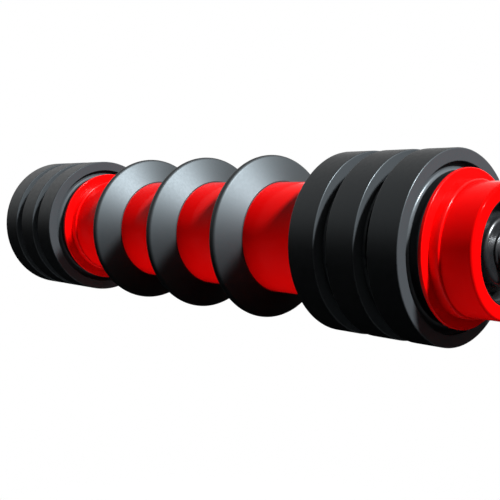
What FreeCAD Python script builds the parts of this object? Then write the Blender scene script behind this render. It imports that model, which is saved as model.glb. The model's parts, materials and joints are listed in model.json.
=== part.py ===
"""Conveyor return roller: a thick polymer tube with rubber rings and discs, turning on a fixed shaft.

Millimetres. X runs along the roller, Z is up, and the origin is the middle of the roller's axis.
The roller is the same at both ends, so the right end is drawn and mirrored.
"""
import FreeCAD
import Part

import math
import os

from FreeCAD import Vector

# Tube
tube_length = 600.0
tube_diameter = 89.0
tube_wall = 9.5
tube_outer_round = 2.2
tube_bore_round = 1.0

# Rubber rings, heights measured out from the tube
ring_hub_height = 7.0
ring_groove_width = 6.0
ring_face_height = 9.0
ring_tread_width = 24.0
ring_pitch = 35.0
ring_groove_depth = 4.0
ring_groove_round = 3.0
ring_edge_round = 1.0
ring_lip_round = 0.5
ring_hub_round = 2.5
ring_group_to_tube_end = 85.5
ring_places = ("inner", "middle", "outer")

# Rubber discs with conical sides
disc_pitch = 84.0
disc_base_width = 24.0
disc_rim_width = 5.0
disc_foot_height = 1.0
disc_rim_round = 0.8

# Collars that hold the ring groups
collar_flange_height = 8.9
collar_flange_thickness = 2.8
collar_sleeve_wall = 1.4
collar_sleeve_land = 0.2
collar_length = 10.2
collar_corner_round = 1.6
collar_edge_round = 0.7

# Shaft
shaft_diameter = 20.0
shaft_shoulder_gap = 4.0
shaft_flat_length = 9.0
shaft_across_flats = 14.0
shaft_end_bevel = 1.0

# Ball bearing
bearing_diameter = 47.0
bearing_width = 14.0
bearing_to_tube_end = 19.0
ball_diameter = 7.94
ball_count = 8
ball_clearance = 0.1
race_shoulder_to_pitch = 2.35
race_edge_round = 1.0
cage_thickness = 2.8
cage_width = 10.0
cage_pocket_clearance = 0.15

# Circlip beside the inner race
circlip_thickness = 1.2
circlip_groove_depth = 0.5
circlip_side_play = 0.1
circlip_radial_width = 3.0
circlip_gap_angle = 34.0
circlip_lug_radius = 2.2
circlip_lug_hole_radius = 1.0

# Bearing housing, depths measured in from the end of the tube
housing_lip_depth = 1.5
housing_lip_wall = 1.8
housing_trough_depth = 11.0
housing_trough_round = 3.0
housing_back_wall = 5.0
housing_shoulder_height = 3.0
housing_mouth_step = 2.4
housing_boss_wall = 2.0
housing_outer_wall = 3.0
housing_floor = 4.0
housing_rib_thickness = 2.5
housing_rib_count = 8

# Labyrinth seal: a ring turning in the housing and a disc standing on the shaft
seal_gap = 0.8
seal_ring_wall = 5.6
seal_boss_depth = 4.6
seal_boss_step = 3.4
seal_boss_round = 2.6
seal_boss_thickness = 4.0
seal_disc_thickness = 2.5
seal_hub_wall = 3.0
seal_hub_depth = 3.5
seal_edge_round = 0.5
seal_fins = 4

# Grease seal behind the bearing
back_seal_thickness = 2.5
back_seal_clearance = 0.35

# Radii and places that follow from the sizes above
tube_radius = tube_diameter / 2
bore_radius = tube_radius - tube_wall
tube_end = tube_length / 2
ring_hub_radius = tube_radius + ring_hub_height
ring_face_inner_radius = ring_hub_radius + ring_groove_width
running_radius = ring_face_inner_radius + ring_face_height
group_centre = tube_end - ring_group_to_tube_end
group_half_width = len(ring_places) * ring_pitch / 2
shaft_radius = shaft_diameter / 2
shaft_shoulder = tube_end + shaft_shoulder_gap
shaft_end = shaft_shoulder + shaft_flat_length
bearing_radius = bearing_diameter / 2
ball_radius = ball_diameter / 2
pitch_radius = (shaft_radius + bearing_radius) / 2
bearing_face = tube_end - bearing_to_tube_end
bearing_back = bearing_face - bearing_width
bearing_middle = bearing_face - bearing_width / 2
circlip_face = bearing_face + circlip_thickness
circlip_inner_radius = shaft_radius - circlip_groove_depth
housing_back = bearing_back - housing_back_wall
housing_shoulder_radius = bearing_radius - housing_shoulder_height
mouth_radius = bearing_radius + housing_mouth_step
seal_hub_radius = shaft_radius + seal_hub_wall
trough_floor = tube_end - housing_trough_depth
seal_wall_inner_radius = mouth_radius - seal_ring_wall
seal_boss_radius = mouth_radius - seal_boss_step
seal_fin_wall = (seal_wall_inner_radius - seal_hub_radius - (seal_fins + 1) * seal_gap) / seal_fins
seal_disc_back = circlip_face + seal_gap
seal_disc_front = seal_disc_back + seal_disc_thickness
seal_boss_front = tube_end - seal_boss_depth
seal_boss_back = seal_boss_front - seal_boss_thickness
seal_hub_front = tube_end - seal_hub_depth

ORIGIN = Vector(0, 0, 0)
ALONG = Vector(1, 0, 0)


def rounded_outline(corners):
    """Closed outline through corners (x, r) or (x, r, round), each with a tangent arc of its round."""
    edges = []
    starts = []
    ends = []
    count = len(corners)
    for i, corner in enumerate(corners):
        here = Vector(corner[0], 0, corner[1])
        size = corner[2] if len(corner) > 2 else 0.0
        back = Vector(corners[i - 1][0], 0, corners[i - 1][1]) - here
        ahead = Vector(corners[(i + 1) % count][0], 0, corners[(i + 1) % count][1]) - here
        back.normalize()
        ahead.normalize()
        if size == 0.0:
            starts.append(here)
            ends.append(here)
            continue
        half = back.getAngle(ahead) / 2
        inward = back + ahead
        inward.normalize()
        start = here + back * (size / math.tan(half))
        end = here + ahead * (size / math.tan(half))
        middle = here + inward * (size / math.sin(half) - size)
        edges.append(Part.Arc(start, middle, end).toShape())
        starts.append(start)
        ends.append(end)
    for i in range(count):
        following = starts[(i + 1) % count]
        if ends[i].distanceToPoint(following) > 1e-6:
            edges.append(Part.LineSegment(ends[i], following).toShape())
    return Part.Wire(Part.__sortEdges__(edges))


def turned(corners):
    """Solid of revolution about the roller's axis."""
    return Part.Face(rounded_outline(corners)).revolve(ORIGIN, ALONG, 360)


def plain_ring(x_low, x_high, r_inner, r_outer):
    """Ring of rectangular section."""
    return turned([(x_low, r_inner), (x_high, r_inner), (x_high, r_outer), (x_low, r_outer)])


def mirrored(shape):
    """The same shape at the roller's left end."""
    return shape.mirror(ORIGIN, ALONG)


def around(shape, count):
    """Copies of a shape spaced evenly about the roller's axis."""
    copies = []
    for i in range(count):
        copy = shape.copy()
        copy.rotate(ORIGIN, ALONG, 360.0 * i / count)
        copies.append(copy)
    return copies


def make_tube():
    return turned([
        (-tube_end, bore_radius, tube_bore_round),
        (tube_end, bore_radius, tube_bore_round),
        (tube_end, tube_radius, tube_outer_round),
        (-tube_end, tube_radius, tube_outer_round),
    ])


def make_rubber_ring(centre):
    """Tread on a wider hub, with a deep groove between face and hub on each side."""
    half_hub = ring_pitch / 2
    half_tread = ring_tread_width / 2
    half_web = half_tread - ring_groove_depth
    right_side = [
        (half_hub, tube_radius),
        (half_hub, ring_hub_radius, ring_hub_round),
        (half_web, ring_hub_radius, ring_groove_round),
        (half_web, ring_face_inner_radius),
        (half_tread, ring_face_inner_radius, ring_lip_round),
        (half_tread, running_radius, ring_edge_round),
    ]
    left_side = [(-corner[0],) + corner[1:] for corner in reversed(right_side)]
    ring = turned(right_side + left_side)
    ring.translate(Vector(centre, 0, 0))
    return ring


def make_disc(centre):
    """Conical sides from a wide base on the tube to a narrow rim."""
    base = disc_base_width / 2
    rim = disc_rim_width / 2
    return turned([
        (centre - base, tube_radius),
        (centre + base, tube_radius),
        (centre + base, tube_radius + disc_foot_height),
        (centre + rim, running_radius, disc_rim_round),
        (centre - rim, running_radius, disc_rim_round),
        (centre - base, tube_radius + disc_foot_height),
    ])


def make_collar():
    """Flange against the rubber hub and a thin sleeve on the tube, facing right from x = 0."""
    flange_radius = tube_radius + collar_flange_height
    sleeve_radius = tube_radius + collar_sleeve_wall
    sleeve_round = collar_sleeve_wall - collar_sleeve_land
    return turned([
        (0, tube_radius),
        (collar_length, tube_radius),
        (collar_length, sleeve_radius, sleeve_round),
        (collar_flange_thickness, sleeve_radius, collar_corner_round),
        (collar_flange_thickness, flange_radius, collar_edge_round),
        (0, flange_radius, collar_edge_round),
    ])


def make_shaft():
    """Bar with circlip grooves, and two flats at each end that drop into upright bracket slots."""
    shaft = turned([
        (-shaft_end, 0),
        (shaft_end, 0),
        (shaft_end, shaft_radius - shaft_end_bevel),
        (shaft_end - shaft_end_bevel, shaft_radius),
        (-shaft_end + shaft_end_bevel, shaft_radius),
        (-shaft_end, shaft_radius - shaft_end_bevel),
    ])
    flat_height = shaft_radius - shaft_across_flats / 2
    groove = plain_ring(bearing_face - circlip_side_play, circlip_face, circlip_inner_radius, shaft_diameter)
    for y_low in (shaft_across_flats / 2, -shaft_radius):
        corner = Vector(shaft_shoulder, y_low, -shaft_radius)
        cut = Part.makeBox(shaft_flat_length, flat_height, shaft_diameter, corner)
        shaft = shaft.cut(cut).cut(mirrored(cut))
    return shaft.cut(groove).cut(mirrored(groove))


def ball_track():
    """Torus that the balls run in, the same for both races."""
    return Part.makeTorus(pitch_radius, ball_radius + ball_clearance, Vector(bearing_middle, 0, 0), ALONG)


def make_inner_race():
    shoulder = pitch_radius - race_shoulder_to_pitch
    blank = turned([
        (bearing_back, shaft_radius),
        (bearing_face, shaft_radius),
        (bearing_face, shoulder),
        (bearing_back, shoulder),
    ])
    return blank.cut(ball_track())


def make_outer_race():
    shoulder = pitch_radius + race_shoulder_to_pitch
    blank = turned([
        (bearing_back, shoulder),
        (bearing_face, shoulder),
        (bearing_face, bearing_radius, race_edge_round),
        (bearing_back, bearing_radius, race_edge_round),
    ])
    return blank.cut(ball_track())


def ball_set(radius):
    """Spheres of one radius at every ball's place."""
    ball = Part.makeSphere(radius, Vector(bearing_middle, 0, pitch_radius))
    return around(ball, ball_count)


def make_balls():
    return Part.makeCompound(ball_set(ball_radius))


def make_cage():
    """Ring between the races with a round pocket for each ball."""
    cage = plain_ring(
        bearing_middle - cage_width / 2,
        bearing_middle + cage_width / 2,
        pitch_radius - cage_thickness / 2,
        pitch_radius + cage_thickness / 2,
    )
    for pocket in ball_set(ball_radius + cage_pocket_clearance):
        cage = cage.cut(pocket)
    return cage


def make_circlip():
    """Open ring with two drilled lugs, its gap at the top."""
    outer_radius = circlip_inner_radius + circlip_radial_width
    ring = plain_ring(bearing_face, circlip_face, circlip_inner_radius, outer_radius)
    start = Vector(bearing_face, 0, 0)
    reach = 2 * outer_radius
    half_gap = math.radians(circlip_gap_angle / 2)
    left = start + Vector(0, -reach * math.sin(half_gap), reach * math.cos(half_gap))
    right = start + Vector(0, reach * math.sin(half_gap), reach * math.cos(half_gap))
    wedge = Part.Face(Part.makePolygon([start, left, right, start])).extrude(ALONG * circlip_thickness)
    ring = ring.cut(wedge)
    lug_radius_out = outer_radius - circlip_lug_radius / 2
    lug_angle = half_gap + math.asin(circlip_lug_radius / lug_radius_out)
    inside = Part.makeCylinder(circlip_inner_radius, circlip_thickness, start, ALONG)
    holes = []
    for side in (-1, 1):
        place = Vector(
            bearing_face,
            side * lug_radius_out * math.sin(lug_angle),
            lug_radius_out * math.cos(lug_angle),
        )
        lug = Part.makeCylinder(circlip_lug_radius, circlip_thickness, place, ALONG)
        ring = ring.fuse(lug.cut(inside))
        holes.append(Part.makeCylinder(circlip_lug_hole_radius, circlip_thickness, place, ALONG))
    for hole in holes:
        ring = ring.cut(hole)
    return ring.removeSplitter()


def make_housing():
    """Moulded cup: bearing seat, open trough at the front, and pockets between ribs at the back."""
    lip_front = tube_end - housing_lip_depth
    lip_radius = bore_radius - housing_lip_wall
    housing = turned([
        (housing_back, housing_shoulder_radius),
        (bearing_back, housing_shoulder_radius),
        (bearing_back, bearing_radius),
        (bearing_face, bearing_radius),
        (bearing_face, mouth_radius),
        (trough_floor, mouth_radius),
        (trough_floor, lip_radius, housing_trough_round),
        (lip_front, lip_radius, housing_lip_wall / 3),
        (lip_front, bore_radius, housing_lip_wall / 3),
        (housing_back, bore_radius),
    ])
    pocket_inner = mouth_radius + housing_boss_wall
    pocket_outer = bore_radius - housing_outer_wall
    pocket_front = trough_floor - housing_floor
    pockets = plain_ring(housing_back, pocket_front, pocket_inner, pocket_outer)
    corner = Vector(housing_back, -housing_rib_thickness / 2, 0)
    rib = Part.makeBox(pocket_front - housing_back, housing_rib_thickness, bore_radius, corner)
    for copy in around(rib, housing_rib_count):
        pockets = pockets.cut(copy)
    return housing.cut(pockets)


def seal_fin_inner_radius(index):
    """Inner radius of a labyrinth fin, counted outward from the shaft."""
    return seal_hub_radius + seal_gap + index * (seal_fin_wall + seal_gap)


def make_seal_ring():
    """Turning half: a wall pressed in the housing, a rounded boss that closes it, and the even fins."""
    ring = turned([
        (bearing_face, seal_wall_inner_radius),
        (seal_boss_back, seal_wall_inner_radius),
        (seal_boss_back, seal_fin_inner_radius(0)),
        (seal_boss_front, seal_fin_inner_radius(0), seal_edge_round),
        (seal_boss_front, seal_boss_radius, seal_boss_round),
        (trough_floor, seal_boss_radius),
        (trough_floor, mouth_radius),
        (bearing_face, mouth_radius),
    ])
    for index in range(0, seal_fins, 2):
        inner = seal_fin_inner_radius(index)
        fin = plain_ring(seal_disc_front + seal_gap, seal_boss_back, inner, inner + seal_fin_wall)
        ring = ring.fuse(fin)
    return ring.removeSplitter()


def make_seal_disc():
    """Standing half: a hub pressed on the shaft, a disc, and the odd fins between the turning ones."""
    outer = seal_fin_inner_radius(seal_fins - 1) + seal_fin_wall
    disc = turned([
        (circlip_face, shaft_radius),
        (seal_hub_front, shaft_radius),
        (seal_hub_front, seal_hub_radius, seal_edge_round),
        (seal_disc_front, seal_hub_radius),
        (seal_disc_front, outer),
        (seal_disc_back, outer),
        (seal_disc_back, seal_hub_radius),
        (circlip_face, seal_hub_radius),
    ])
    for index in range(1, seal_fins, 2):
        inner = seal_fin_inner_radius(index)
        fin = plain_ring(seal_disc_front, seal_boss_back - seal_gap, inner, inner + seal_fin_wall)
        disc = disc.fuse(fin)
    return disc.removeSplitter()


def make_back_seal():
    """Disc in the back of the housing with a running gap round the shaft."""
    return plain_ring(
        housing_back,
        housing_back + back_seal_thickness,
        shaft_radius + back_seal_clearance,
        housing_shoulder_radius,
    )


pieces = {"tube": make_tube(), "shaft": make_shaft()}

for side, middle in (("left", -group_centre), ("right", group_centre)):
    outward = 1 if middle > 0 else -1
    for index, place in enumerate(ring_places):
        from_middle = (index + 0.5) * ring_pitch - group_half_width
        pieces["ring_" + side + "_" + place] = make_rubber_ring(middle + outward * from_middle)
    collar = make_collar()
    collar.translate(Vector(middle + group_half_width, 0, 0))
    facing_left = mirrored(make_collar())
    facing_left.translate(Vector(middle - group_half_width, 0, 0))
    pieces["collar_" + side + "_outer"] = collar if side == "right" else facing_left
    pieces["collar_" + side + "_inner"] = facing_left if side == "right" else collar

for place, step in (("left", -1), ("middle", 0), ("right", 1)):
    pieces["disc_" + place] = make_disc(step * disc_pitch)

end_pieces = {
    "bearing_housing": make_housing(),
    "back_seal": make_back_seal(),
    "outer_race": make_outer_race(),
    "inner_race": make_inner_race(),
    "ball_cage": make_cage(),
    "bearing_balls": make_balls(),
    "circlip": make_circlip(),
    "seal_ring": make_seal_ring(),
    "seal_disc": make_seal_disc(),
}
for name, shape in end_pieces.items():
    pieces[name + "_right"] = shape
    pieces[name + "_left"] = mirrored(shape)

os.makedirs("parts", exist_ok=True)
for name, shape in pieces.items():
    shape.exportStep("parts/" + name + ".step")
    print(name, "solids", len(shape.Solids), "volume", round(shape.Volume, 1), "valid", shape.isValid())
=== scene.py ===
"""Conveyor return roller: turned surfaces, finishes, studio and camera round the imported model.

Lengths are in metres, and angles are in degrees unless a line says otherwise.
"""

import json
import math

import bpy
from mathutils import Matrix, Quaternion, Vector

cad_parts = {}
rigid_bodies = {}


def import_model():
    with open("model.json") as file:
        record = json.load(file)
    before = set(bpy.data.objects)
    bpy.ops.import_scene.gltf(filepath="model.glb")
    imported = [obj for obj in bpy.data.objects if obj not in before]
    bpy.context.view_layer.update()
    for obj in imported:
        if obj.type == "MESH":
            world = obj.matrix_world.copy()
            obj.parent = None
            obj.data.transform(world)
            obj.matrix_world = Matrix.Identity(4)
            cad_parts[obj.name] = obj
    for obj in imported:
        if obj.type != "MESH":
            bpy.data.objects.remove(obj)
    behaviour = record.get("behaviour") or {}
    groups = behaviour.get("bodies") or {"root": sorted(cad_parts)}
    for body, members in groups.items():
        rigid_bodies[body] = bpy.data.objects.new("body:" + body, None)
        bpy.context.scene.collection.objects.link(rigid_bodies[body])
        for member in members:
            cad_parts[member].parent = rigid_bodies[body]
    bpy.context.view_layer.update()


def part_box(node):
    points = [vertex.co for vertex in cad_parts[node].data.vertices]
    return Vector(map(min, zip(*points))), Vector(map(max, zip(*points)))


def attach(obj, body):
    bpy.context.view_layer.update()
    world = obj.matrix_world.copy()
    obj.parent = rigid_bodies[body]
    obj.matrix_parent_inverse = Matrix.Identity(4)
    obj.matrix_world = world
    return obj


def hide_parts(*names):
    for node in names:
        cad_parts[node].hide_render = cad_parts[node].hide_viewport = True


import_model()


def rgb(red, green, blue):
    return (red, green, blue, 1.0)


WHITE = rgb(1.0, 1.0, 1.0)

# Camera, from the fit of the roller's circles to the photograph
IMAGE_WIDTH = 500
FOCAL_PIXELS = 818.9
SENSOR_WIDTH = 36.0
CAMERA_PLACE = (0.5680, -0.4656, 0.0399)
CAMERA_AZIMUTH = 47.72
CAMERA_ELEVATION = 4.36
CAMERA_ROLL = 0.07
CAMERA_CLIP_START = 0.01

# Floor, which fades between two distances from its middle, with the share of it that is clear at each
FLOOR_HEIGHT = -0.60
FLOOR_RADIUS = 1.20
FLOOR_SIDES = 96
FLOOR_FADE = (0.30, 1.10)
FLOOR_THINNING = (0.55, 1.0)
FLOOR_COLOUR = rgb(0.88, 0.88, 0.88)

# Lamps: a small, far key light high off the right-hand end, and soft fills behind, below and on the left
WORLD_FILL = 0.02
LIGHT_COLOUR = (0.91, 0.968, 1.0)
KEY_LIGHT = dict(size=(0.5, 0.5), place=(3.793, 0.265, 3.247), radiance=625.0)
FILL_LIGHTS = {
    "back_light": dict(size=(1.1, 1.1), place=(0.0, 0.90, 0.90), radiance=2.0),
    "low_light": dict(size=(1.0, 1.2), place=(-0.42, -0.50, -0.52), radiance=1.65),
    "left_light": dict(size=(1.0, 1.0), place=(-1.6, 0.15, 0.35), radiance=4.0),
}

# Curtain round the set that only reflections see: black below and paler upward between two elevations,
# with one gain at its far left and another over the rest, blended between two places along X
CURTAIN_RADIUS = 4.0
CURTAIN_BOTTOM = -90.0
CURTAIN_TOP = 75.0
CURTAIN_FOOT_HEIGHT = 0.8 * FLOOR_HEIGHT
CURTAIN_COLUMNS = 120
CURTAIN_ROWS = 24
CURTAIN_RISE = (-6.5, 32.0)
CURTAIN_GAINS = (1.0, 0.53)
CURTAIN_BLEND = (-3.6, -2.6)

# White window in the curtain, low behind the roller: azimuths from +X, elevations and its soft edge
WINDOW_AZIMUTHS = (85.0, 150.0)
WINDOW_ELEVATIONS = (-2.0, 22.0)
WINDOW_EDGE = 3.0

# Turned pieces: fineness, and sizes that several of them share
TURNED_SIDES = 192
ROUND_STEPS = 8
TUBE_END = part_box("tube")[1].x
TUBE_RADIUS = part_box("tube")[1].z
BORE_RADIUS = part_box("bearing_housing_right")[1].z
SHAFT_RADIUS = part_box("shaft")[1].z

# Sizes of the turned pieces that the boxes of their nodes don't give
TUBE_OUTER_ROUND = 0.0022
TUBE_BORE_ROUND = 0.0010
RING_HUB_RADIUS = 0.0515
RING_FACE_INNER_RADIUS = 0.0575
RING_HALF_TREAD = 0.0120
RING_HALF_WEB = 0.0080
RING_HUB_ROUND = 0.0025
RING_GROOVE_ROUND = 0.0030
RING_LIP_ROUND = 0.0005
RING_EDGE_ROUND = 0.0010
DISC_FOOT_RADIUS = 0.0455
DISC_HALF_RIM = 0.0025
DISC_RIM_ROUND = 0.0036
FLANGE_THICKNESS = 0.0028
FLANGE_EDGE_ROUND = 0.0007
SLEEVE_RADIUS = 0.0459
SLEEVE_ROUND = 0.0012

# Labyrinth seal, with depths measured in from the end of the tube
SEAL_WALL_INNER_RADIUS = 0.0203
SEAL_SHOULDER_DEPTH = 0.0110
SEAL_BOSS_RADIUS = 0.0225
SEAL_BOSS_BACK_DEPTH = 0.0086
SEAL_BOSS_ROUND = 0.0026
SEAL_HUB_RADIUS = 0.0130
SEAL_DISC_BACK_DEPTH = 0.0170
SEAL_DISC_FRONT_DEPTH = 0.0145
SEAL_EDGE_ROUND = 0.0005
SEAL_GAP = 0.0008
SEAL_FINS = 4
SEAL_FIN_WALL = (SEAL_WALL_INNER_RADIUS - SEAL_HUB_RADIUS - (SEAL_FINS + 1) * SEAL_GAP) / SEAL_FINS
SEAL_FIN_PITCH = SEAL_FIN_WALL + SEAL_GAP
SEAL_FIN_RADII = [SEAL_HUB_RADIUS + SEAL_GAP + i * SEAL_FIN_PITCH for i in range(SEAL_FINS)]

# Finishes: a unit for relief, parts of a noise's range, and how slowly lengthwise marks change along X
MICRON = 0.000001
NOISE_MIDDLE = (0.30, 0.70)
NOISE_BROAD = (0.30, 0.75)
NOISE_HIGH = (0.45, 0.75)
LENGTHWISE_CHANGE = 0.3

# What stained steel keeps of its colour, and the colours that the gloss of the other finishes takes on
STAIN_DARKENING = 0.72
RED_TINT = rgb(1.0, 0.07, 0.07)
COLLAR_TINT = rgb(1.0, 0.35, 0.35)
RUBBER_TINT = rgb(0.85, 0.945, 1.0)
RIM_TINT = rgb(0.40, 0.43, 0.45)

# Where a rubber changes, as a face turns from looking out from the roller (0) to looking along it (1)
WALL_TURN = (0.30, 0.70)
FLAT_WALL_TURN = (0.80, 0.97)
BURNISHED_TURN = (0.05, 0.35)
HUB_TURN = (0.25, 0.45)
RIM_TURN = (0.30, 0.80)

# What two of those turns add to the roughness, and the painted highlight between two heights above a ring's
# hub: a paler colour standing in for the key light's glint on the hub's rounded corner
BURNISHED_ROUGHNESS = -0.12
FLAT_WALL_ROUGHNESS = 0.50
HUB_PAINTED_HIGHLIGHT_HEIGHTS = (0.0005, 0.0020)
HUB_PAINTED_HIGHLIGHT_COLOUR = rgb(0.113, 0.120, 0.127)


class Nodes:
    """A node tree being put together."""

    def __init__(self, tree):
        self.tree = tree

    def add(self, kind, **settings):
        node = self.tree.nodes.new("ShaderNode" + kind)
        for setting, value in settings.items():
            setattr(node, setting, value)
        return node

    def put(self, socket, value):
        if isinstance(value, bpy.types.NodeSocket):
            self.tree.links.new(value, socket)
        else:
            socket.default_value = value

    def fill(self, node, *values):
        """Sets or links a node's inputs in their order, and gives its outputs."""
        for socket, value in zip(node.inputs, values):
            self.put(socket, value)
        return node.outputs

    def math(self, operation, first, second=0.0):
        return self.fill(self.add("Math", operation=operation), first, second)[0]

    def vector(self, x, y, z):
        return self.fill(self.add("CombineXYZ"), x, y, z)[0]

    def parts(self, vector):
        return self.fill(self.add("SeparateXYZ"), vector)

    def ramp(self, value, low, high, to_low=0.0, to_high=1.0):
        """Runs smoothly from to_low to to_high as value goes from low to high."""
        node = self.add("MapRange", interpolation_type="SMOOTHSTEP")
        return self.fill(node, value, low, high, to_low, to_high)[0]


class Material(Nodes):
    """A material being made from an empty node tree."""

    def __init__(self, name):
        self.material = bpy.data.materials.new(name)
        self.material.use_nodes = True
        super().__init__(self.material.node_tree)
        self.tree.nodes.clear()

    def show(self, shader):
        self.fill(self.add("OutputMaterial"), shader)


class Finish(Material):
    """A Principled material, with coordinates that run along and round the roller."""

    def __init__(self, name, **sockets):
        super().__init__(name)
        self.shader = self.add("BsdfPrincipled")
        self.show(self.shader.outputs[0])
        for socket, value in sockets.items():
            self.set(socket.replace("_", " "), value)
        coordinates = self.add("TexCoord").outputs
        self.place = coordinates["Object"]
        self.facing = coordinates["Normal"]
        x, y, z = self.parts(self.place)
        squares = self.math("ADD", self.math("MULTIPLY", y, y), self.math("MULTIPLY", z, z))
        self.radius = self.math("SQRT", squares)
        self.section = self.vector(x, self.radius, 0.0)
        slow_x = self.math("MULTIPLY", x, LENGTHWISE_CHANGE)
        round_y = self.math("DIVIDE", y, self.radius)
        round_z = self.math("DIVIDE", z, self.radius)
        self.lengthwise = self.vector(slow_x, round_y, round_z)
        self.normal = None

    def set(self, socket, value):
        self.put(self.shader.inputs[socket], value)

    def noise(self, where, scale, detail=2.0, roughness=0.5):
        node = self.add("TexNoise")
        self.put(node.inputs["Vector"], where)
        node.inputs["Scale"].default_value = scale
        node.inputs["Detail"].default_value = detail
        node.inputs["Roughness"].default_value = roughness
        return node.outputs["Fac"]

    def spread(self, noise, low, high, over=NOISE_MIDDLE):
        """Runs from low to high over a part of a noise's range."""
        return self.ramp(noise, *over, low, high)

    def colour(self, share, first, second):
        node = self.add("Mix", data_type="RGBA")
        for socket, value in zip(("Factor_Float", "A_Color", "B_Color"), (share, first, second)):
            self.put(next(entry for entry in node.inputs if entry.identifier == socket), value)
        return next(entry for entry in node.outputs if entry.identifier == "Result_Color")

    def along(self, low, high):
        """Rises from 0 to 1 as a face turns from looking out from the roller to looking along it."""
        return self.ramp(self.math("ABSOLUTE", self.parts(self.facing)["X"]), low, high)

    def bump(self, height, depth):
        """Adds relief: height runs from 0 to 1, and depth is what 1 stands for."""
        node = self.add("Bump")
        node.inputs["Distance"].default_value = depth
        self.put(node.inputs["Height"], height)
        if self.normal is not None:
            self.put(node.inputs["Normal"], self.normal)
        self.normal = node.outputs[0]
        self.set("Normal", self.normal)


def red_tube():
    """Extruded polymer: die lines along the tube, a faint orange peel and a few rub marks."""
    finish = Finish("red_tube", IOR=1.5, Specular_IOR_Level=0.06, Specular_Tint=RED_TINT)
    tone = finish.noise(finish.place, scale=14.0, detail=4.0)
    finish.set("Base Color", finish.colour(tone, rgb(0.95, 0.0018, 0.0018), rgb(0.90, 0.0012, 0.0014)))
    rubbed = finish.noise(finish.place, scale=60.0, detail=5.0)
    finish.set("Roughness", finish.spread(rubbed, 0.10, 0.18, over=NOISE_BROAD))
    finish.bump(finish.noise(finish.lengthwise, scale=28.0, detail=4.0), depth=10 * MICRON)
    finish.bump(finish.noise(finish.place, scale=240.0), depth=6 * MICRON)
    return finish.material


def red_collar():
    """Moulded polymer: round flow lines and a fine skin."""
    finish = Finish("red_collar", IOR=1.5, Specular_IOR_Level=0.4, Specular_Tint=COLLAR_TINT)
    tone = finish.noise(finish.place, scale=30.0, detail=4.0)
    finish.set("Base Color", finish.colour(tone, rgb(0.96, 0.0018, 0.0018), rgb(0.91, 0.0012, 0.0014)))
    skin = finish.noise(finish.place, scale=90.0, detail=4.0)
    finish.set("Roughness", finish.spread(skin, 0.19, 0.25, over=NOISE_BROAD))
    finish.bump(finish.noise(finish.section, scale=900.0), depth=4 * MICRON)
    finish.bump(finish.noise(finish.place, scale=400.0), depth=4 * MICRON)
    return finish.material


def ring_rubber():
    """Moulded black rubber: turning marks of the mould, fine grain, side walls paler than the tread, and a
    painted highlight on the rounded corner of the hub.
    """
    finish = Finish("ring_rubber", IOR=1.5, Specular_IOR_Level=0.50, Specular_Tint=RUBBER_TINT)
    mottle = finish.noise(finish.place, scale=300.0, detail=5.0, roughness=0.6)
    tread = finish.colour(mottle, rgb(0.0020, 0.0021, 0.0023), rgb(0.0038, 0.0040, 0.0043))
    wall = finish.colour(mottle, rgb(0.034, 0.0365, 0.0393), rgb(0.0415, 0.044, 0.047))
    rubber = finish.colour(finish.along(*WALL_TURN), tread, wall)
    # Painted highlight: a paler colour on the hub's rounded corner, standing in for the key light's glint
    # there
    painted_highlight_radii = [RING_HUB_RADIUS + height for height in HUB_PAINTED_HIGHLIGHT_HEIGHTS]
    at_hub = finish.ramp(finish.radius, *painted_highlight_radii, 1.0, 0.0)
    hub_painted_highlight = finish.math("MULTIPLY", finish.along(*HUB_TURN), at_hub)
    finish.set("Base Color", finish.colour(hub_painted_highlight, rubber, HUB_PAINTED_HIGHLIGHT_COLOUR))
    burnished = finish.math("MULTIPLY", finish.along(*BURNISHED_TURN), BURNISHED_ROUGHNESS)
    matt_wall = finish.math("MULTIPLY", finish.along(*FLAT_WALL_TURN), FLAT_WALL_ROUGHNESS)
    worn = finish.spread(mottle, 0.38, 0.46)
    finish.set("Roughness", finish.math("ADD", worn, finish.math("ADD", burnished, matt_wall)))
    finish.bump(finish.noise(finish.section, scale=1500.0), depth=6 * MICRON)
    finish.bump(finish.noise(finish.place, scale=2200.0), depth=8 * MICRON)
    return finish.material


def disc_rubber():
    """Smoother moulded rubber with a silky skin, and less gloss round the running edge."""
    finish = Finish("disc_rubber", IOR=1.58, Specular_IOR_Level=1.0)
    finish.set("Specular Tint", finish.colour(finish.along(*RIM_TURN), RIM_TINT, RUBBER_TINT))
    mottle = finish.noise(finish.place, scale=450.0, detail=5.0, roughness=0.6)
    black = finish.colour(mottle, rgb(0.0012, 0.0013, 0.0015), rgb(0.0022, 0.0024, 0.0027))
    finish.set("Base Color", black)
    finish.set("Roughness", finish.spread(mottle, 0.515, 0.54))
    finish.bump(finish.noise(finish.section, scale=1200.0), depth=2 * MICRON)
    finish.bump(finish.noise(finish.place, scale=1800.0), depth=2 * MICRON)
    return finish.material


def black_plastic(name, roughness):
    """Glossy moulded black polymer."""
    finish = Finish(name, IOR=1.5, Specular_IOR_Level=1.0)
    mottle = finish.noise(finish.place, scale=150.0, detail=4.0)
    black = finish.colour(mottle, rgb(0.010, 0.0105, 0.0115), rgb(0.018, 0.0185, 0.0200))
    finish.set("Base Color", black)
    finish.set("Roughness", finish.spread(mottle, *roughness))
    finish.bump(finish.noise(finish.section, scale=1400.0), depth=2 * MICRON)
    finish.bump(finish.noise(finish.place, scale=900.0), depth=2 * MICRON)
    return finish.material


def steel(name, colour, roughness, marks):
    """Bare steel with turning marks and faint staining."""
    finish = Finish(name, Metallic=1.0)
    stain = finish.noise(finish.place, scale=45.0, detail=6.0, roughness=0.6)
    stained = rgb(*[STAIN_DARKENING * part for part in colour[:3]])
    finish.set("Base Color", finish.colour(finish.ramp(stain, *NOISE_HIGH), colour, stained))
    finish.set("Roughness", finish.spread(stain, *roughness, over=NOISE_BROAD))
    finish.bump(finish.noise(finish.section, scale=2600.0), depth=marks)
    finish.bump(finish.noise(finish.lengthwise, scale=70.0, detail=3.0), depth=marks)
    return finish.material


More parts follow.
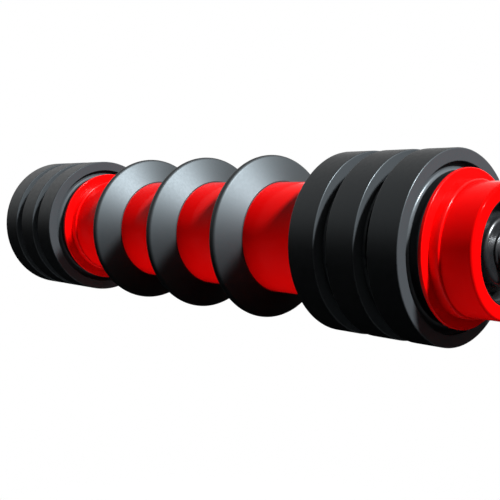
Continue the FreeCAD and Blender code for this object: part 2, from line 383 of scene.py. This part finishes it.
def dark_spring_steel():
    """Phosphated spring steel."""
    finish = Finish("circlip_steel", Metallic=0.7)
    grain = finish.noise(finish.place, scale=700.0, detail=4.0, roughness=0.7)
    finish.set("Base Color", finish.colour(grain, rgb(0.030, 0.030, 0.032), rgb(0.070, 0.068, 0.066)))
    finish.set("Roughness", finish.spread(grain, 0.42, 0.58))
    finish.bump(grain, depth=12 * MICRON)
    return finish.material


FINISHES = {
    "red_tube": red_tube(),
    "red_collar": red_collar(),
    "ring_rubber": ring_rubber(),
    "disc_rubber": disc_rubber(),
    "housing_plastic": black_plastic("housing_plastic", roughness=(0.10, 0.16)),
    "seal_plastic": black_plastic("seal_plastic", roughness=(0.245, 0.315)),
    "shaft_steel": steel("shaft_steel", rgb(0.56, 0.56, 0.57), roughness=(0.22, 0.38), marks=4 * MICRON),
    "bearing_steel": steel("bearing_steel", rgb(0.66, 0.66, 0.67), roughness=(0.08, 0.16), marks=MICRON),
    "cage_steel": steel("cage_steel", rgb(0.52, 0.52, 0.53), roughness=(0.25, 0.38), marks=3 * MICRON),
    "circlip_steel": dark_spring_steel(),
}


def dress():
    """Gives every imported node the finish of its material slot."""
    for obj in bpy.data.objects:
        if obj.type != "MESH":
            continue
        for slot in obj.material_slots:
            name = slot.material.name.split(".")[0]
            if name in FINISHES:
                slot.material = FINISHES[name]


def new_object(name, data):
    obj = bpy.data.objects.new(name, data)
    bpy.context.scene.collection.objects.link(obj)
    return obj


def mesh_object(name, points, faces, material):
    mesh = bpy.data.meshes.new(name)
    mesh.from_pydata(points, [], faces)
    mesh.materials.append(material)
    return new_object(name, mesh)


def circle(sides):
    """Cosine and sine of evenly spaced turns."""
    turns = [math.tau * i / sides for i in range(sides)]
    return [(math.cos(turn), math.sin(turn)) for turn in turns]


def rounded(corners):
    """Outline of a section given as corners (x, radius, round), with the material on their left.

    Each point of the outline is (x, radius, tilt before, tilt after), where a tilt is the angle of the
    outward normal from +X in radians.
    """
    outline = []
    for i, (x, radius, bend) in enumerate(corners):
        last = corners[i - 1]
        following = corners[(i + 1) % len(corners)]
        tilt = math.atan2(last[0] - x, radius - last[1])
        turn = math.remainder(math.atan2(x - following[0], following[1] - radius) - tilt, math.tau)
        if bend == 0:
            outline.append((x, radius, tilt, tilt + turn))
            continue
        side = math.copysign(bend, turn)
        reach = bend * math.tan(abs(turn) / 2)
        centre_x = x + reach * math.sin(tilt) - side * math.cos(tilt)
        centre_radius = radius - reach * math.cos(tilt) - side * math.sin(tilt)
        for k in range(ROUND_STEPS + 1):
            here = tilt + turn * k / ROUND_STEPS
            arc_x = centre_x + side * math.cos(here)
            arc_radius = centre_radius + side * math.sin(here)
            outline.append((arc_x, arc_radius, here, here))
    return outline


def mirrored(corners):
    """The same section facing the other way, with the material still on the left of its corners."""
    return [(-x, radius, bend) for x, radius, bend in reversed(corners)]


def moved(corners, distance):
    return [(x + distance, radius, bend) for x, radius, bend in corners]


def turned(name, node, body, slot, corners):
    """A piece turned from a section, with exact normals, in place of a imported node."""
    outline = rounded(corners)
    spokes = circle(TURNED_SIDES)
    points = [(x, radius * y, radius * z) for x, radius, _, _ in outline for y, z in spokes]
    faces = []
    normals = []
    for i in range(len(outline)):
        beyond = (i + 1) % len(outline)
        leaving = outline[i][3]
        arriving = outline[beyond][2]
        tilts = (leaving, arriving, arriving, leaving)
        for j in range(TURNED_SIDES):
            beside = (j + 1) % TURNED_SIDES
            face = ((i, j), (beyond, j), (beyond, beside), (i, beside))
            faces.append([row * TURNED_SIDES + column for row, column in face])
            for tilt, (row, column) in zip(tilts, face):
                y, z = spokes[column]
                normals.append((math.cos(tilt), math.sin(tilt) * y, math.sin(tilt) * z))
    piece = mesh_object(name, points, faces, FINISHES[slot])
    piece.data.polygons.foreach_set("use_smooth", [True] * len(faces))
    piece.data.normals_split_custom_set(normals)
    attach(piece, body)
    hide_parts(node)


def make_tube():
    turned("tube_extrusion", "tube", "shell", "red_tube", (
        (-TUBE_END, BORE_RADIUS, TUBE_BORE_ROUND),
        (TUBE_END, BORE_RADIUS, TUBE_BORE_ROUND),
        (TUBE_END, TUBE_RADIUS, TUBE_OUTER_ROUND),
        (-TUBE_END, TUBE_RADIUS, TUBE_OUTER_ROUND),
    ))


def make_ring(node):
    low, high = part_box(node)
    half_width = (high.x - low.x) / 2
    half = [
        (half_width, TUBE_RADIUS, 0),
        (half_width, RING_HUB_RADIUS, RING_HUB_ROUND),
        (RING_HALF_WEB, RING_HUB_RADIUS, RING_GROOVE_ROUND),
        (RING_HALF_WEB, RING_FACE_INNER_RADIUS, 0),
        (RING_HALF_TREAD, RING_FACE_INNER_RADIUS, RING_LIP_ROUND),
        (RING_HALF_TREAD, high.z, RING_EDGE_ROUND),
    ]
    corners = moved(half + mirrored(half), low.x + half_width)
    turned(node + "_rubber", node, "shell", "ring_rubber", corners)


def make_disc(node):
    low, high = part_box(node)
    half_width = (high.x - low.x) / 2
    half = [
        (half_width, TUBE_RADIUS, 0),
        (half_width, DISC_FOOT_RADIUS, 0),
        (DISC_HALF_RIM, high.z, DISC_RIM_ROUND),
    ]
    corners = moved(half + mirrored(half), low.x + half_width)
    turned(node + "_rubber", node, "shell", "disc_rubber", corners)


def make_collar(node, flange_first):
    """A collar with its flange at the low or the high end of its box."""
    low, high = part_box(node)
    length = high.x - low.x
    corners = [
        (0, TUBE_RADIUS, 0),
        (length, TUBE_RADIUS, 0),
        (length, SLEEVE_RADIUS, SLEEVE_ROUND),
        (FLANGE_THICKNESS, SLEEVE_RADIUS, 0),
        (FLANGE_THICKNESS, high.z, FLANGE_EDGE_ROUND),
        (0, high.z, FLANGE_EDGE_ROUND),
    ]
    placed = moved(corners, low.x) if flange_first else moved(mirrored(corners), high.x)
    turned(node + "_moulding", node, "shell", "red_collar", placed)


def at_end(end, corners):
    """Corners (depth in from the end of the tube, radius, round) placed at the right or the left end."""
    placed = [(TUBE_END - depth, radius, bend) for depth, radius, bend in corners]
    return placed if end == "right" else mirrored(placed)


def depths(node):
    """How deep the back and the front of a node at the right-hand end lie in from the end of the tube."""
    low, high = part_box(node)
    return TUBE_END - low.x, TUBE_END - high.x


def make_seal_ring(end):
    """Turning half of the seal: wall, boss, and two fins that point inward."""
    back, front = depths("seal_ring_right")
    outer_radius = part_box("seal_ring_right")[1].z
    fin_end = SEAL_DISC_FRONT_DEPTH - SEAL_GAP
    corners = [(back, SEAL_WALL_INNER_RADIUS, 0), (SEAL_BOSS_BACK_DEPTH, SEAL_WALL_INNER_RADIUS, 0)]
    for radius in (SEAL_FIN_RADII[2], SEAL_FIN_RADII[0]):
        corners.append((SEAL_BOSS_BACK_DEPTH, radius + SEAL_FIN_WALL, 0))
        corners.append((fin_end, radius + SEAL_FIN_WALL, 0))
        corners.append((fin_end, radius, 0))
        corners.append((SEAL_BOSS_BACK_DEPTH, radius, 0))
    corners.pop()
    corners.append((front, SEAL_FIN_RADII[0], SEAL_EDGE_ROUND))
    corners.append((front, SEAL_BOSS_RADIUS, SEAL_BOSS_ROUND))
    corners.append((SEAL_SHOULDER_DEPTH, SEAL_BOSS_RADIUS, 0))
    corners.append((SEAL_SHOULDER_DEPTH, outer_radius, 0))
    corners.append((back, outer_radius, 0))
    node = "seal_ring_" + end
    turned(node + "_moulding", node, "shell", "seal_plastic", at_end(end, corners))


def make_seal_disc(end):
    """Standing half of the seal: hub, disc, and two fins that point outward."""
    back, front = depths("seal_disc_right")
    fin_end = SEAL_BOSS_BACK_DEPTH + SEAL_GAP
    corners = [
        (back, SHAFT_RADIUS, 0),
        (front, SHAFT_RADIUS, 0),
        (front, SEAL_HUB_RADIUS, SEAL_EDGE_ROUND),
        (SEAL_DISC_FRONT_DEPTH, SEAL_HUB_RADIUS, 0),
    ]
    for radius in (SEAL_FIN_RADII[1], SEAL_FIN_RADII[3]):
        corners.append((SEAL_DISC_FRONT_DEPTH, radius, 0))
        corners.append((fin_end, radius, 0))
        corners.append((fin_end, radius + SEAL_FIN_WALL, 0))
        corners.append((SEAL_DISC_FRONT_DEPTH, radius + SEAL_FIN_WALL, 0))
    corners.pop()
    corners.append((SEAL_DISC_BACK_DEPTH, SEAL_FIN_RADII[3] + SEAL_FIN_WALL, 0))
    corners.append((SEAL_DISC_BACK_DEPTH, SEAL_HUB_RADIUS, 0))
    corners.append((back, SEAL_HUB_RADIUS, 0))
    node = "seal_disc_" + end
    turned(node + "_moulding", node, "shaft", "seal_plastic", at_end(end, corners))


def make_turned_pieces():
    make_tube()
    for end in ("left", "right"):
        for place in ("inner", "middle", "outer"):
            make_ring("ring_" + end + "_" + place)
    for place in ("left", "middle", "right"):
        make_disc("disc_" + place)
    make_collar("collar_left_outer", flange_first=False)
    make_collar("collar_left_inner", flange_first=True)
    make_collar("collar_right_inner", flange_first=False)
    make_collar("collar_right_outer", flange_first=True)
    for end in ("left", "right"):
        make_seal_ring(end)
        make_seal_disc(end)


def make_floor():
    """Pale round floor below the roller that fades into the white surroundings."""
    nodes = Material("floor")
    length = nodes.add("VectorMath", operation="LENGTH")
    distance = nodes.fill(length, nodes.add("TexCoord").outputs["Object"])["Value"]
    pale = nodes.fill(nodes.add("BsdfDiffuse"), FLOOR_COLOUR)[0]
    clear = nodes.add("BsdfTransparent").outputs[0]
    thinning = nodes.ramp(distance, *FLOOR_FADE, *FLOOR_THINNING)
    nodes.show(nodes.fill(nodes.add("MixShader"), thinning, pale, clear)[0])
    points = [(FLOOR_RADIUS * x, FLOOR_RADIUS * y, 0.0) for x, y in circle(FLOOR_SIDES)]
    floor = mesh_object("floor", points, [range(FLOOR_SIDES)], nodes.material)
    floor.location.z = FLOOR_HEIGHT


def curtain_glow():
    """Black below the roller, grey beside it and paler above, with the white window."""
    nodes = Material("curtain")
    x, y, height = nodes.parts(nodes.add("TexCoord").outputs["Object"])
    rise = [CURTAIN_RADIUS * math.sin(math.radians(elevation)) for elevation in CURTAIN_RISE]
    gain = nodes.ramp(x, *CURTAIN_BLEND, *CURTAIN_GAINS)
    cloth = nodes.math("MULTIPLY", nodes.ramp(height, *rise), gain)
    azimuth = nodes.math("DEGREES", nodes.math("ARCTAN2", y, x))
    sine = nodes.math("DIVIDE", height, CURTAIN_RADIUS)
    elevation = nodes.math("DEGREES", nodes.math("ARCSINE", sine))
    window = 1.0
    for angle, (low, high) in ((azimuth, WINDOW_AZIMUTHS), (elevation, WINDOW_ELEVATIONS)):
        window = nodes.math("MULTIPLY", window, nodes.ramp(angle, low - WINDOW_EDGE, low))
        window = nodes.math("MULTIPLY", window, nodes.ramp(angle, high + WINDOW_EDGE, high))
    level = nodes.math("MAXIMUM", cloth, window)
    nodes.show(nodes.fill(nodes.add("Emission"), WHITE, level)[0])
    return nodes.material


def make_curtain():
    """A dome round the set, open at its top and flat just above the floor."""
    points = []
    for east, north in circle(CURTAIN_COLUMNS):
        for j in range(1, CURTAIN_ROWS + 1):
            elevation = CURTAIN_BOTTOM + (CURTAIN_TOP - CURTAIN_BOTTOM) * j / CURTAIN_ROWS
            reach = CURTAIN_RADIUS * math.cos(math.radians(elevation))
            height = CURTAIN_RADIUS * math.sin(math.radians(elevation))
            points.append((reach * east, reach * north, max(height, CURTAIN_FOOT_HEIGHT)))
    faces = []
    for i in range(CURTAIN_COLUMNS):
        for j in range(CURTAIN_ROWS - 1):
            here = i * CURTAIN_ROWS + j
            beside = (i + 1) % CURTAIN_COLUMNS * CURTAIN_ROWS + j
            faces.append((here, beside, beside + 1, here + 1))
    faces.append(range(0, CURTAIN_COLUMNS * CURTAIN_ROWS, CURTAIN_ROWS))
    curtain = mesh_object("curtain", points, faces, curtain_glow())
    curtain.visible_camera = False
    curtain.visible_diffuse = False
    curtain.visible_transmission = False
    curtain.visible_volume_scatter = False
    curtain.visible_shadow = False


def make_world():
    """White surroundings for the camera, gloss and glass, and a weaker fill on everything else."""
    world = bpy.data.worlds.new("studio")
    bpy.context.scene.world = world
    world.use_nodes = True
    nodes = Nodes(world.node_tree)
    path = nodes.add("LightPath").outputs
    seen = nodes.math("MAXIMUM", path["Is Camera Ray"], path["Is Glossy Ray"])
    seen = nodes.math("MAXIMUM", seen, path["Is Transmission Ray"])
    strength = nodes.ramp(seen, 0.0, 1.0, WORLD_FILL, 1.0)
    nodes.fill(nodes.tree.nodes["Background"], WHITE, strength)


def make_softbox(name, size, place, radiance):
    """A rectangular lamp turned to the roller's middle."""
    light = bpy.data.lights.new(name, "AREA")
    light.shape = "RECTANGLE"
    light.size, light.size_y = size
    light.energy = radiance * math.pi * size[0] * size[1]
    light.color = LIGHT_COLOUR
    softbox = new_object(name, light)
    softbox.visible_camera = False
    softbox.location = place
    softbox.rotation_euler = (-Vector(place)).to_track_quat("-Z", "Y").to_euler()
    return softbox


def make_lights():
    """The key light shows in the gloss, and the fills don't."""
    make_softbox("key_light", **KEY_LIGHT)
    for name, settings in FILL_LIGHTS.items():
        make_softbox(name, **settings).visible_glossy = False


def make_camera():
    lens = bpy.data.cameras.new("camera")
    lens.sensor_width = SENSOR_WIDTH
    lens.lens = SENSOR_WIDTH * FOCAL_PIXELS / IMAGE_WIDTH
    lens.clip_start = CAMERA_CLIP_START
    turn = math.radians(CAMERA_AZIMUTH)
    rise = math.radians(CAMERA_ELEVATION)
    back = Vector((math.sin(turn) * math.cos(rise), -math.cos(turn) * math.cos(rise), math.sin(rise)))
    roll = Quaternion((0.0, 0.0, 1.0), math.radians(CAMERA_ROLL))
    camera = new_object("camera", lens)
    camera.location = CAMERA_PLACE
    camera.rotation_euler = ((-back).to_track_quat("-Z", "Y") @ roll).to_euler()
    bpy.context.scene.camera = camera


dress()
make_turned_pieces()
make_floor()
make_curtain()
make_world()
make_lights()
make_camera()
bpy.context.scene.view_settings.view_transform = "Standard"
